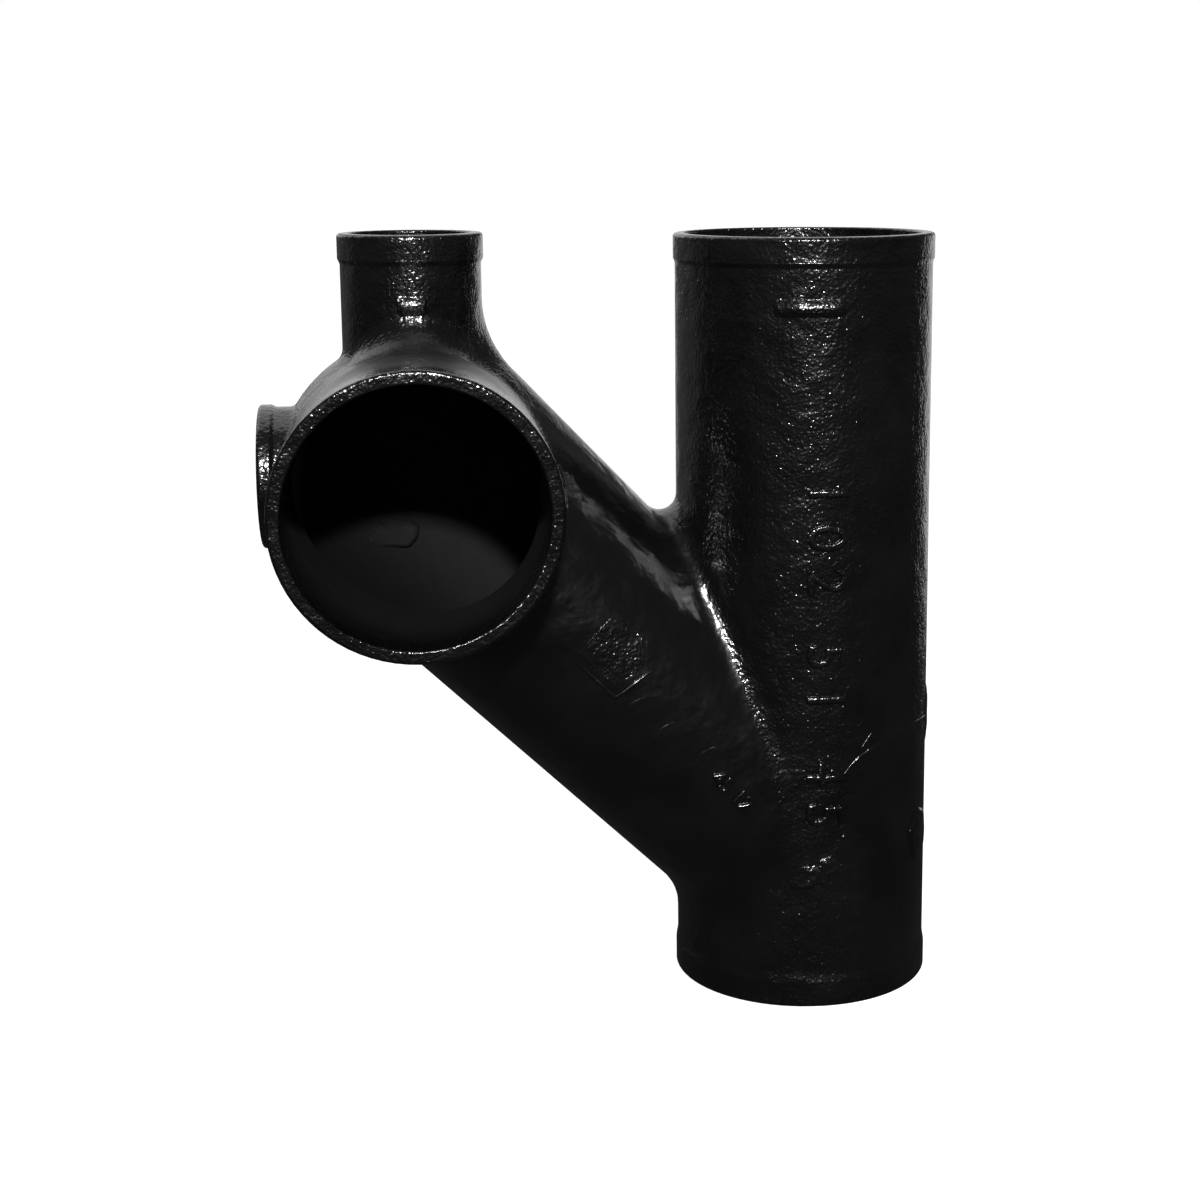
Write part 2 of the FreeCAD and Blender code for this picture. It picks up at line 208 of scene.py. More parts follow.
def in_the_bores(tree, coordinates, at):
    """1 on the walls of the passages, and 0 on the outside. The coating's change
    fades out toward each mouth."""
    quarter = math.pi / 2
    stack, middle = (0, 0, 0), CHAMBER
    upright, forward, aside, down_branch = (
        (0, 0, 0), (quarter, 0, 0), (0, -quarter, 0), (0, 1.5 * quarter, 0))
    # Each radius is a little wider than its bore, and the branch's bore tapers.
    large, small, core, tapered = 0.0514, 0.026, 0.0568, 0.0535
    passages = ((stack, upright, large, 0.0, 0.33, 0.05),
                (middle, forward, large, -0.03, 0.112, 0.06),
                (middle, upright, core, 0.0, 0.0, 0.0),
                (middle, upright, small, 0.03, 0.1, 0.02),
                (middle, aside, small, 0.03, 0.06, 0.01),
                (middle, down_branch, core, -0.01, 0.12, 0.001),
                (middle, down_branch, tapered, 0.11, 0.22, 0.001))
    inside = None
    for row, passage in enumerate(passages):
        here = within(tree, coordinates, passage, (at[0], at[1] + row))
        if inside:
            here = calculated(tree, "MAXIMUM", (at[0] + 7, at[1] + row), here, inside)
        inside = here
    return inside


def sandy_share(tree, coordinates, smooth_share, at):
    """1 where the mould left the most sand, and less along the branch, apart from its
    pad. Each place is its centre, turn, radius, ends and their softness."""
    x, y = at
    branch = (CHAMBER, (0, 3 * math.pi / 4, 0), 0.0625, 0.03, 0.235, 0.02)
    stack = ((0, 0, 0), (0, 0, 0), 0.058, -0.01, 0.34, 0.001)
    pad = (PAD, (0, 0, 0), 0.0125, 0.0, 0.0, 0.0)
    smooth = within(tree, coordinates, branch, at)
    rough = calculated(tree, "MAXIMUM", (x + 8, y + 1),
                       within(tree, coordinates, stack, (x, y + 1)),
                       within(tree, coordinates, pad, (x, y + 2)))
    return between(tree, (x + 10, y),
                   calculated(tree, "SUBTRACT", (x + 9, y), smooth, rough), 1.0, smooth_share)


def dull_shoulder(tree, coordinates, at):
    """1 on the chamber's shoulder in front of the vent, where the coating dried smooth
    and dull, fading out all round."""
    x, y = at
    middle = CHAMBER + Vector((0, -0.062, 0.04))
    none, full = 0.042, 0.026
    off = passed(tree, "DISTANCE", at, coordinates, middle)
    made = add_node(tree, "ShaderNodeMapRange", (x + 1, y), From_Min=none, From_Max=full)
    tree.links.new(off, made.inputs["Value"])
    return made.outputs[0]


def between(tree, at, factor, low, high):
    """A value that goes from low to high as the factor goes from 0 to 1."""
    made = add_node(tree, "ShaderNodeMapRange", at, To_Min=low, To_Max=high)
    tree.links.new(factor, made.inputs["Value"])
    return made.outputs[0]


def raised(tree, at, height, distance, strength=None, under=None):
    """A Bump node on a height, over the bumps under it."""
    made = add_node(tree, "ShaderNodeBump", at, Strength=1.0, Distance=distance)
    tree.links.new(height, made.inputs["Height"])
    if strength:
        tree.links.new(strength, made.inputs["Strength"])
    if under:
        tree.links.new(under, made.inputs["Normal"])
    return made.outputs["Normal"]


def coat_colour(tree, where, inside, look):
    """Near black, a little paler in clouds where the coating is thin, and the thinner
    coating's colour in the bores."""
    cloud_size, thick, thin = 0.035, 0.42, 0.72
    clouds = patterned(tree, where, cloud_size, (-4, -2), detail=4.0)
    shades = add_node(tree, "ShaderNodeValToRGB", (-3, -2))
    low, high = shades.color_ramp.elements
    low.position, low.color = thick, (*look.paint, 1)
    high.position, high.color = thin, (*look.worn, 1)
    tree.links.new(clouds.outputs["Fac"], shades.inputs["Fac"])
    # Where a Mix node for colours has its factor, its two colours and its result.
    factor, first, second, result = 0, 6, 7, 2
    finish = add_node(tree, "ShaderNodeMix", (-1, -2))
    finish.data_type = "RGBA"
    finish.inputs[second].default_value = (*look.inside, 1)
    tree.links.new(inside, finish.inputs[factor])
    tree.links.new(shades.outputs["Color"], finish.inputs[first])
    return finish.outputs[result]


def coat_roughness(tree, where, inside, dull, look):
    """Slow smears over the outside's roughness or the bores', and more on the
    shoulder."""
    smear_size, smear = 0.012, 0.06
    smears = patterned(tree, where, smear_size, (-4, -1), detail=3.0)
    sheen = between(tree, (-3, -1), smears.outputs["Fac"], -smear, smear)
    matt = calculated(tree, "ADD", (-2, 0),
                      between(tree, (-3, 0), inside, look.roughness, look.inside_roughness),
                      between(tree, (-6, 8), dull, 0.0, look.dull_roughness))
    return calculated(tree, "ADD", (-1, 0), matt, sheen)


def coat_relief(tree, where, inside, dull, look):
    """Slow ripples, a fine tooth on them and round sand grains of uneven height on
    both. All are quieter in the bores, and the tooth and the grains are quieter along
    the branch and on the shoulder too."""
    quiet_share, shoulder_share = 0.3, 0.3
    ripples = patterned(tree, where, look.peel, (-5, 1), detail=2.0)
    teeth = patterned(tree, where, look.tooth, (-5, 2), detail=1.0)
    cells = add_node(tree, "ShaderNodeTexVoronoi", (-6, 3), Scale=1 / look.grain)
    tree.links.new(where, cells.inputs["Vector"])
    squared = calculated(tree, "POWER", (-5, 3), cells.outputs["Distance"], 2)
    caps = add_node(tree, "ShaderNodeMapRange", (-4, 3), From_Max=look.bead ** 2, To_Min=1.0,
                    To_Max=0.0)
    tree.links.new(squared, caps.inputs["Value"])
    chance = add_node(tree, "ShaderNodeSeparateColor", (-5, 4))
    tree.links.new(cells.outputs["Color"], chance.inputs[0])
    grains = calculated(tree, "MULTIPLY", (-3, 3), caps.outputs[0], chance.outputs[0])
    quiet = between(tree, (-4, 4), inside, 1.0, quiet_share)
    sand = calculated(tree, "MULTIPLY", (-4, 5), quiet,
                      sandy_share(tree, where, look.smooth_share, (-16, 6)))
    sand = calculated(tree, "MULTIPLY", (-3, 5), sand,
                      between(tree, (-6, 9), dull, 1.0, shoulder_share))
    slow = raised(tree, (-3, 1), ripples.outputs["Fac"], look.peel_height, quiet)
    fine = raised(tree, (-2, 1), teeth.outputs["Fac"], look.tooth_height, sand, slow)
    return raised(tree, (-1, 1), grains, look.grain_height, sand, fine)


def coated_iron(look):
    """Cast iron under a black drain coating."""
    made = bpy.data.materials.new("coated_iron_paint")
    made.use_nodes = True
    tree = made.node_tree
    tree.nodes.clear()
    link = tree.links.new
    where = add_node(tree, "ShaderNodeTexCoord", (-14, 0)).outputs["Object"]
    inside = in_the_bores(tree, where, (-13, -4))
    dull = dull_shoulder(tree, where, (-9, 8))
    shader = add_node(tree, "ShaderNodeBsdfPrincipled", (0, 0), IOR=1.5)
    shader.inputs["Specular IOR Level"].default_value = look.gloss
    link(between(tree, (-1, -1), inside, 1.0, look.inside_tint), shader.inputs["Specular Tint"])
    link(coat_colour(tree, where, inside, look), shader.inputs["Base Color"])
    link(coat_roughness(tree, where, inside, dull, look), shader.inputs["Roughness"])
    link(coat_relief(tree, where, inside, dull, look), shader.inputs["Normal"])
    out = add_node(tree, "ShaderNodeOutputMaterial", (2, 0))
    link(shader.outputs["BSDF"], out.inputs["Surface"])
    return made


def paint():
    """The one coating, made by the casting's operator."""
    return bpy.data.materials["coated_iron_paint"]


def wrap_tree():
    """Geometry Nodes that bend a flat mark round a pipe. The mark's X runs along
    the pipe, its Y round it and its Z out of it."""
    tree = bpy.data.node_groups.get("wrap on pipe")
    if tree:
        return tree
    tree = bpy.data.node_groups.new("wrap on pipe", "GeometryNodeTree")
    face = tree.interface
    face.new_socket("Mark", in_out="INPUT", socket_type="NodeSocketGeometry")
    for name in ("Origin", "Along", "Front", "Side"):
        face.new_socket(name, in_out="INPUT", socket_type="NodeSocketVector")
    for name in ("Radius", "Taper"):
        face.new_socket(name, in_out="INPUT", socket_type="NodeSocketFloat")
    face.new_socket("Coating", in_out="INPUT", socket_type="NodeSocketMaterial")
    face.new_socket("Mark", in_out="OUTPUT", socket_type="NodeSocketGeometry")
    link = tree.links.new
    given = add_node(tree, "NodeGroupInput", (-6, 0)).outputs
    flat = add_node(tree, "ShaderNodeSeparateXYZ", (-5, 1))
    link(add_node(tree, "GeometryNodeInputPosition", (-6, 1)).outputs[0], flat.inputs[0])

    x, y, z = flat.outputs
    narrowing = calculated(tree, "MULTIPLY", (-4, 2), given["Taper"], x)
    radius = calculated(tree, "SUBTRACT", (-3, 2), given["Radius"], narrowing)
    reach = calculated(tree, "ADD", (-2, 2), radius, z)
    angle = calculated(tree, "DIVIDE", (-3, 1), y, radius)
    ahead = calculated(tree, "MULTIPLY", (-1, 1), reach,
                       calculated(tree, "COSINE", (-2, 1), angle))
    aside = calculated(tree, "MULTIPLY", (-1, 0), reach,
                       calculated(tree, "SINE", (-2, 0), angle))
    round_pipe = passed(tree, "ADD", (1, 1),
                        passed(tree, "SCALE", (0, 1), given["Front"], ahead),
                        passed(tree, "SCALE", (0, 0), given["Side"], aside))
    along_pipe = passed(tree, "ADD", (1, -1), given["Origin"],
                        passed(tree, "SCALE", (0, -1), given["Along"], x))
    place = passed(tree, "ADD", (2, 0), round_pipe, along_pipe)
    moved = add_node(tree, "GeometryNodeSetPosition", (3, 0))
    link(given["Mark"], moved.inputs["Geometry"])
    link(place, moved.inputs["Position"])
    real = add_node(tree, "GeometryNodeRealizeInstances", (4, 0))
    link(moved.outputs[0], real.inputs[0])
    coat = add_node(tree, "GeometryNodeSetMaterial", (5, 0))
    link(real.outputs[0], coat.inputs["Geometry"])
    link(given["Coating"], coat.inputs["Material"])
    out = add_node(tree, "NodeGroupOutput", (6, 0))
    link(coat.outputs[0], out.inputs[0])
    return tree


def on_pipe(flat, name, place):
    """Bends a flat mesh round a pipe and makes it a finished piece."""
    rough = bpy.data.objects.new(name + "_flat", flat)
    bpy.context.scene.collection.objects.link(rough)
    modifier = rough.modifiers.new("Wrap", "NODES")
    modifier.node_group = wrap_tree()
    values = dict(place, Coating=paint())
    for item in modifier.node_group.interface.items_tree:
        if item.in_out == "INPUT" and item.name in values:
            modifier[item.identifier] = values[item.name]
    ready = rough.evaluated_get(bpy.context.evaluated_depsgraph_get())
    mesh = bpy.data.meshes.new_from_object(ready)
    bpy.data.objects.remove(rough)
    mesh.name = name
    mesh.shade_smooth()
    mesh.set_sharp_from_angle(angle=SHARP)
    return settled(name, mesh)


def settled(name, mesh):
    """A finished piece that belongs to the casting."""
    if not mesh.polygons:
        raise RuntimeError(name + " has no faces")
    if paint().name not in [m.name for m in mesh.materials if m]:
        mesh.materials.append(paint())
    piece = bpy.data.objects.new(name, mesh)
    bpy.context.scene.collection.objects.link(piece)
    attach(piece, "root")
    return piece


def on_stack(height, azimuth):
    """Where a mark sits on the stack. Its X runs down the stack, and azimuth is
    in degrees from the front towards the right."""
    turn = math.radians(azimuth)
    return {"Origin": Vector((0, 0, height)), "Along": DOWN,
            "Front": Vector((math.sin(turn), -math.cos(turn), 0)),
            "Side": Vector((math.cos(turn), math.sin(turn), 0)),
            "Radius": STACK_RADIUS, "Taper": 0.0}


def on_branch(distance, angle):
    """Where a mark sits on the branch, at a distance down it from the chamber's
    middle and an angle in degrees from its front up over it."""
    turn = math.radians(angle)
    taper = (BRANCH_WIDE - BRANCH_NARROW) / BRANCH_LENGTH
    return {"Origin": CHAMBER + DOWN_BRANCH * distance, "Along": DOWN_BRANCH,
            "Front": FORWARD * math.cos(turn) + OVER_BRANCH * math.sin(turn),
            "Side": OVER_BRANCH * math.cos(turn) - FORWARD * math.sin(turn),
            "Radius": BRANCH_WIDE - taper * distance, "Taper": taper}


def as_mesh(name, curve):
    """A plain, closed mesh of a curve or of words."""
    rough = bpy.data.objects.new(name + "_curve", curve)
    bpy.context.scene.collection.objects.link(rough)
    ready = rough.evaluated_get(bpy.context.evaluated_depsgraph_get())
    mesh = bpy.data.meshes.new_from_object(ready)
    bpy.data.objects.remove(rough)
    return mesh


def sliced(mesh, step):
    """Cuts a flat mesh into strips, so that it can bend round a pipe."""
    bm = bmesh.new()
    bm.from_mesh(mesh)
    bmesh.ops.remove_doubles(bm, verts=bm.verts, dist=1e-6)
    low = min(v.co.y for v in bm.verts)
    high = max(v.co.y for v in bm.verts)
    for cut in range(1, math.ceil((high - low) / step)):
        everything = bm.verts[:] + bm.edges[:] + bm.faces[:]
        bmesh.ops.bisect_plane(bm, geom=everything, dist=1e-7,
                               plane_co=(0, low + cut * step, 0), plane_no=(0, 1, 0))
    bmesh.ops.recalc_face_normals(bm, faces=bm.faces)
    bm.to_mesh(mesh)
    bm.free()
    return mesh


def figures(name, text, height, rise, spacing=1.0):
    """Raised figures, lying flat, centred across the pipe."""
    # A figure of the built-in type is 0.73 of its size high. The round edge is
    # nearly as wide as the figure is raised, so the stroke is drawn in by half of it.
    type_share, edge, strip = 0.73, rise * 0.85, 0.0012
    curve = bpy.data.curves.new(name, "FONT")
    curve.body = text
    curve.size = height / type_share
    curve.space_character = spacing
    curve.align_y = "CENTER"
    curve.extrude = SUNK / 10
    curve.offset = -edge / 2
    curve.bevel_depth = edge
    curve.bevel_resolution = 4
    curve.resolution_u = 6
    mesh = as_mesh(name, curve)
    bpy.data.curves.remove(curve)
    mesh.transform(Matrix.Translation((0, 0, rise - edge - SUNK / 10)))
    return sliced(mesh, strip)


def lump(length_down, width, rise, seed, rough=0.25, plateau=0.0):
    """A low uneven swelling with a closed foot, lying flat. Its length runs down
    the pipe. Plateau is the share of it that is level."""
    rings, spokes = 12, 56
    # The waves of the outline, and of the surface for each metre.
    outline_waves, surface_waves = 1.7, 350
    shift = Vector((seed * 7.3, seed * 3.1, 0.5))
    bm = bmesh.new()
    middle = bm.verts.new((0, 0, rise))
    rows = []
    for ring in range(1, rings + 1):
        out = ring / rings
        fall = max(0, (out - plateau) / (1 - plateau)) ** 2
        row = []
        for spoke in range(spokes):
            turn = math.tau * spoke / spokes
            ray = Vector((math.cos(turn), math.sin(turn), 0))
            edge = 1 + rough * noise.noise(ray * outline_waves + shift)
            x, y = length_down / 2 * edge * out * ray.x, width / 2 * edge * out * ray.y
            uneven = 1 + rough * noise.noise(Vector((x, y, 0)) * surface_waves + shift)
            z = -SUNK if ring == rings else rise * (1 - fall) * uneven
            row.append(bm.verts.new((x, y, z)))
        rows.append(row)
    foot = bm.verts.new((0, 0, -SUNK))
    for spoke in range(spokes):
        following = (spoke + 1) % spokes
        bm.faces.new((middle, rows[0][spoke], rows[0][following]))
        for inner, outer in zip(rows, rows[1:]):
            bm.faces.new((inner[spoke], outer[spoke], outer[following], inner[following]))
        bm.faces.new((foot, rows[-1][following], rows[-1][spoke]))
    mesh = bpy.data.meshes.new("lump")
    bm.to_mesh(mesh)
    bm.free()
    return mesh


def bar(length_down, width, rise):
    """A low round bar across the pipe with a closed foot, lying flat, that fades out
    all round."""
    # Its rim lies just under the pipe's skin, and it is level over most of its width.
    hidden, level = 0.00015, 0.8
    rows, columns = 24, 48
    points, faces = [], []
    for row in range(rows + 1):
        down = 2 * row / rows - 1
        for column in range(columns + 1):
            across = 2 * column / columns - 1
            end = max(0, (abs(across) - level) / (1 - level))
            swell = (1 - down ** 2) ** 2 * (1 - end ** 2) ** 2
            points.append((down * length_down / 2, across * width / 2, rise * swell - hidden))
    stride = columns + 1
    for row in range(rows):
        for column in range(columns):
            here = row * stride + column
            faces.append((here, here + stride, here + stride + 1, here + 1))
    rim = (list(range(columns))
           + [row * stride + columns for row in range(rows)]
           + [rows * stride + column for column in range(columns, 0, -1)]
           + [row * stride for row in range(rows, 0, -1)])
    foot = len(points)
    points += [(points[corner][0], points[corner][1], -SUNK) for corner in rim]
    for spot, corner in enumerate(rim):
        after = (spot + 1) % len(rim)
        faces.append((corner, rim[after], foot + after, foot + spot))
    faces.append(range(foot, foot + len(rim)))
    mesh = bpy.data.meshes.new("bar")
    mesh.from_pydata(points, [], faces)
    return mesh


def ridge(path, width, rise):
    """A low round ridge along a path, lying flat and thinning out at its ends."""
    end_share = 0.4
    curve = bpy.data.curves.new("ridge", "CURVE")
    curve.dimensions = "3D"
    curve.bevel_depth = width / 2
    curve.bevel_resolution = 4
    curve.use_fill_caps = True
    curve.resolution_u = 10
    line = curve.splines.new("NURBS")
    line.points.add(len(path) - 1)
    for number, (point, place) in enumerate(zip(line.points, path)):
        point.co = (*place, 0, 1)
        point.radius = end_share if number in (0, len(path) - 1) else 1.0
    line.order_u = 3
    line.use_endpoint_u = True
    mesh = as_mesh("ridge", curve)
    bpy.data.curves.remove(curve)
    mesh.transform(Matrix.Diagonal((1, 1, 2 * rise / width, 1)))
    return mesh


def round_stack(*places):
    """Azimuths in degrees and heights in millimetres on the stack, as a flat path."""
    return [(-height / 1000, math.radians(azimuth) * STACK_RADIUS)
            for azimuth, height in places]


class FITTING_OT_casting(bpy.types.Operator):
    """Gives the iron casting its coating"""
    bl_idname = "fitting.casting"
    bl_label = "Coat the Casting"

    def execute(self, context):
        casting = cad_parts["fitting_casting"]
        made = coated_iron(context.scene.fitting_coating)
        for slot in casting.material_slots:
            slot.material = made
        return {"FINISHED"}


class FITTING_OT_stack_figures(bpy.types.Operator):
    """Adds the figures that run down the stack"""
    bl_idname = "fitting.stack_figures"
    bl_label = "Add the Stack's Figures"

    def execute(self, context):
        marks = context.scene.fitting_marks
        flat = figures("stack_figures", marks.stack_figures, marks.figure_height,
                       marks.figure_rise, spacing=1.6)
        on_pipe(flat, "stack_figures", on_stack(height=0.231, azimuth=-0.3))
        return {"FINISHED"}


class FITTING_OT_branch_figures(bpy.types.Operator):
    """Adds the small figures low on the branch"""
    bl_idname = "fitting.branch_figures"
    bl_label = "Add the Branch's Figures"

    def execute(self, context):
        marks = context.scene.fitting_marks
        flat = figures("branch_figures", marks.branch_figures, marks.small_height,
                       marks.figure_rise)
        on_pipe(flat, "branch_figures", on_branch(distance=0.172, angle=-1.5))
        return {"FINISHED"}


class FITTING_OT_lug_coats(bpy.types.Operator):
    """Rounds the coating over the lugs below the pipes' top ends"""
    bl_idname = "fitting.lug_coats"
    bl_label = "Coat the Lugs"

    def execute(self, context):
        rise = context.scene.fitting_marks.lug_coat
        stack_turn = -7.5
        for side, turn in (("front", 0.0), ("back", 180.0)):
            on_pipe(bar(0.0088, 0.0315, rise), "stack_lug_coat_" + side,
                    on_stack(STACK_LENGTH - LUG_DROP, turn + stack_turn))
            on_vent = dict(on_stack(VENT_TOP - LUG_DROP, turn), Radius=VENT_RADIUS)
            on_vent["Origin"] = on_vent["Origin"] + Vector((CHAMBER.x, 0, 0))
            on_pipe(bar(0.0095, 0.013, rise), "vent_lug_coat_" + side, on_vent)
        return {"FINISHED"}


def bead_coat(name, end):
    """A ring of coating that fills the step from a bead to its pipe. An end is its
    limb's centre and axis, its reach, the radii of pipe and bead, the bead's length
    and the step's."""
    centre, axis, reach, pipe, bead, width, run = end
    steps, spokes, hidden, proud = 8, 128, 0.0004, 2e-5
    profile = [(width - 2 * hidden, bead - hidden)]
    for step in range(steps + 1):
        part = step / steps
        # The coating leaves the bead level and meets the pipe level.
        ease = part * part * (3 - 2 * part)
        profile.append((width + run * part, bead - proud + (pipe + proud - bead) * ease))
    profile.append((width + run, pipe - hidden))
    across = axis.orthogonal().normalized()
    other = axis.cross(across)
    bm = bmesh.new()
    rings = []
    for spoke in range(spokes):
        turn = math.tau * spoke / spokes
        ray = across * math.cos(turn) + other * math.sin(turn)
        rings.append([bm.verts.new(centre + axis * (reach - inward) + ray * out)
                      for inward, out in profile])
    count = len(profile)
    for spoke in range(spokes):
        here, there = rings[spoke], rings[(spoke + 1) % spokes]
        for row in range(count):
            after = (row + 1) % count
            bm.faces.new((here[row], there[row], there[after], here[after]))
    bmesh.ops.recalc_face_normals(bm, faces=bm.faces)
    mesh = bpy.data.meshes.new(name)
    bm.to_mesh(mesh)
    bm.free()
    mesh.shade_smooth()
    mesh.set_sharp_from_angle(angle=SHARP)
    return settled(name, mesh)


class FITTING_OT_bead_coats(bpy.types.Operator):
    """Fills the step behind each bead with coating"""
    bl_idname = "fitting.bead_coats"
    bl_label = "Coat the Beads"

    def execute(self, context):
        large, small = (STACK_RADIUS, STACK_BEAD), (VENT_RADIUS, VENT_BEAD)
        base, run, foot_run = Vector((0, 0, 0)), 0.0026, 0.006
        vent_reach = VENT_TOP - CHAMBER.z
        ends = {"top_bead_coat": (base, UP, STACK_LENGTH, *large, BEAD_LENGTH, run),
                "foot_bead_coat": (base, DOWN, 0.0, *large, BEAD_LENGTH, foot_run),
                "mouth_bead_coat": (CHAMBER, FORWARD, INLET_REACH, *large, BEAD_LENGTH, run),
                "vent_bead_coat": (CHAMBER, UP, vent_reach, *small, BEAD_LENGTH, run),
                "side_bead_coat": (CHAMBER, LEFT, SIDE_REACH, *small, SIDE_BEAD_LENGTH, run)}
        for name, end in ends.items():
            bead_coat(name, end)
        return {"FINISHED"}


class FITTING_OT_pad_edge(bpy.types.Operator):
    """Adds the rounded edge of the square pad on the branch"""
    bl_idname = "fitting.pad_edge"
    bl_label = "Round the Pad's Edge"

    def execute(self, context):
        marks = context.scene.fitting_marks
        path = [(0.0, -0.0055), (0.0115, -0.0056), (0.0221, -0.0056), (0.0231, -0.0048),
                (0.0243, 0.0027), (0.026, 0.0122)]
        edge = ridge(path, marks.seam_width * 1.4, marks.scar_rise * 1.5)
        on_pipe(edge, "pad_edge", on_branch(distance=0.0948, angle=0.0))
        return {"FINISHED"}


class FITTING_OT_core_scab(bpy.types.Operator):
    """Adds the rough scab on the chamber's back wall"""
    bl_idname = "fitting.core_scab"
    bl_label = "Add the Scab in the Chamber"

    def execute(self, context):
        # Where it lies: turned from straight back, and down from level.
        turn, drop = math.radians(-20), math.radians(-34)
        outward = Vector((math.sin(turn) * math.cos(drop), math.cos(turn) * math.cos(drop),
                          math.sin(drop)))
        aside = Vector((math.cos(turn), -math.sin(turn), 0))
        flat = lump(0.017, 0.024, context.scene.fitting_marks.scar_rise * 0.3, seed=9, rough=0.7,
                    plateau=0.2)
        flat.transform(Matrix.Diagonal((1, 1, -1, 1)))
        flat.flip_normals()
        on_pipe(flat, "core_scab", {"Origin": CHAMBER + DOWN_BRANCH * 0.0022,
                                    "Along": outward.cross(aside), "Front": outward,
                                    "Side": aside, "Radius": CORE_RADIUS, "Taper": 0.0})
        return {"FINISHED"}


class FITTING_OT_stack_marks(bpy.types.Operator):
    """Adds the gate scar, the mould's crease and the lumps low on the stack"""
    bl_idname = "fitting.stack_marks"
    bl_label = "Add the Stack's Casting Marks"

    def execute(self, context):
        marks = context.scene.fitting_marks
        rise, seam = marks.scar_rise, marks.seam_width
        scar = lump(0.0166, 0.026, rise, seed=1, rough=0.6, plateau=0.4)
        on_pipe(scar, "gate_scar", on_stack(height=0.0593, azimuth=0.0))
        dot = lump(0.003, 0.0034, rise, seed=2)
        on_pipe(dot, "gate_dot", on_stack(height=0.0762, azimuth=9.1))
        crease = round_stack((70, 118.2), (56, 119.2), (43.4, 119.1), (29.9, 115.6),
                             (20.5, 112.6), (14, 109), (9.3, 104.2))
        scratch = round_stack((-2.7, 199.1), (2, 201.6), (6, 203.5), (14.3, 205.1))
        fleck = round_stack((17.4, 114.8), (20, 117.8), (22.5, 120.7))
        for name, path, width, high in (("mould_crease", crease, seam * 1.5, rise * 0.3),
                                        ("flow_line", scratch, seam * 0.8, rise * 0.3),
                                        ("crease_fleck", fleck, seam * 1.3, rise * 0.6)):
            on_pipe(ridge(path, width, high), name, on_stack(height=0.0, azimuth=0.0))
        swelling = lump(0.027, 0.019, rise, seed=4, plateau=0.3)
        on_pipe(swelling, "side_swelling", on_stack(height=0.119, azimuth=78))
        boss = lump(0.0225, 0.021, rise * 1.3, seed=5, rough=0.2, plateau=0.75)
        on_pipe(boss, "side_boss", on_stack(height=0.0675, azimuth=59))
        return {"FINISHED"}


class FITTING_OT_branch_marks(bpy.types.Operator):
    """Adds the wrinkles across the branch"""
    bl_idname = "fitting.branch_marks"
    bl_label = "Add the Branch's Wrinkles"

    def execute(self, context):
        rise, width = context.scene.fitting_marks.scar_rise * 0.14, 0.0026
        path = [(0.0015, -0.007), (0, 0), (-0.001, 0.003), (0.001, 0.008)]
        places = ((0.126, -5.4), (0.1429, -4.6), (0.1631, -0.9))
        for number, place in enumerate(places):
            on_pipe(ridge(path, width, rise), "branch_wrinkle_" + str(number), on_branch(*place))
        return {"FINISHED"}


class FITTING_OT_stage(bpy.types.Operator):
    """Sets the floor, the surround, the lamp and the camera"""
    bl_idname = "fitting.stage"
    bl_label = "Set the Stage"

    def execute(self, context):
        look = context.scene.fitting_stage
        lay_floor(look)
        light_surround(look)
        hang_lamp(look.key_power)
        place_camera()
        context.scene.view_settings.view_transform = "Standard"
        return {"FINISHED"}


def seen_directly(tree, at):
    """Two sockets: 1 for rays from the camera, and 1 for those and for rays
    through mirrors and glass. Both are 0 for all other rays."""
    path = add_node(tree, "ShaderNodeLightPath", at).outputs
    mirrors = calculated(tree, "MAXIMUM", (at[0] + 1, at[1]), path["Is Camera Ray"],
                         path["Is Glossy Ray"])
    either = calculated(tree, "MAXIMUM", (at[0] + 2, at[1]), mirrors,
                        path["Is Transmission Ray"])
    return path["Is Camera Ray"], either


def toward(tree, at, direction, aim, wide, narrow):
    """1 within the narrow angle of an aim, and 0 outside the wide one."""
    x, y = at
    close = passed(tree, "DOT_PRODUCT", at, direction, aim)
    made = add_node(tree, "ShaderNodeMapRange", (x + 1, y),
                    From_Min=math.cos(math.radians(wide)),
                    From_Max=math.cos(math.radians(narrow)))
    made.interpolation_type = "SMOOTHSTEP"
    tree.links.new(close, made.inputs["Value"])
    return made.outputs[0]


def room_aim(azimuth, elevation):
    """A direction in the room, by its degrees to the right of straight behind the
    fitting and its degrees above level."""
    turn, lift = CAMERA_TURN - math.radians(azimuth), math.radians(elevation)
    return (-math.sin(turn) * math.cos(lift), math.cos(turn) * math.cos(lift), math.sin(lift))


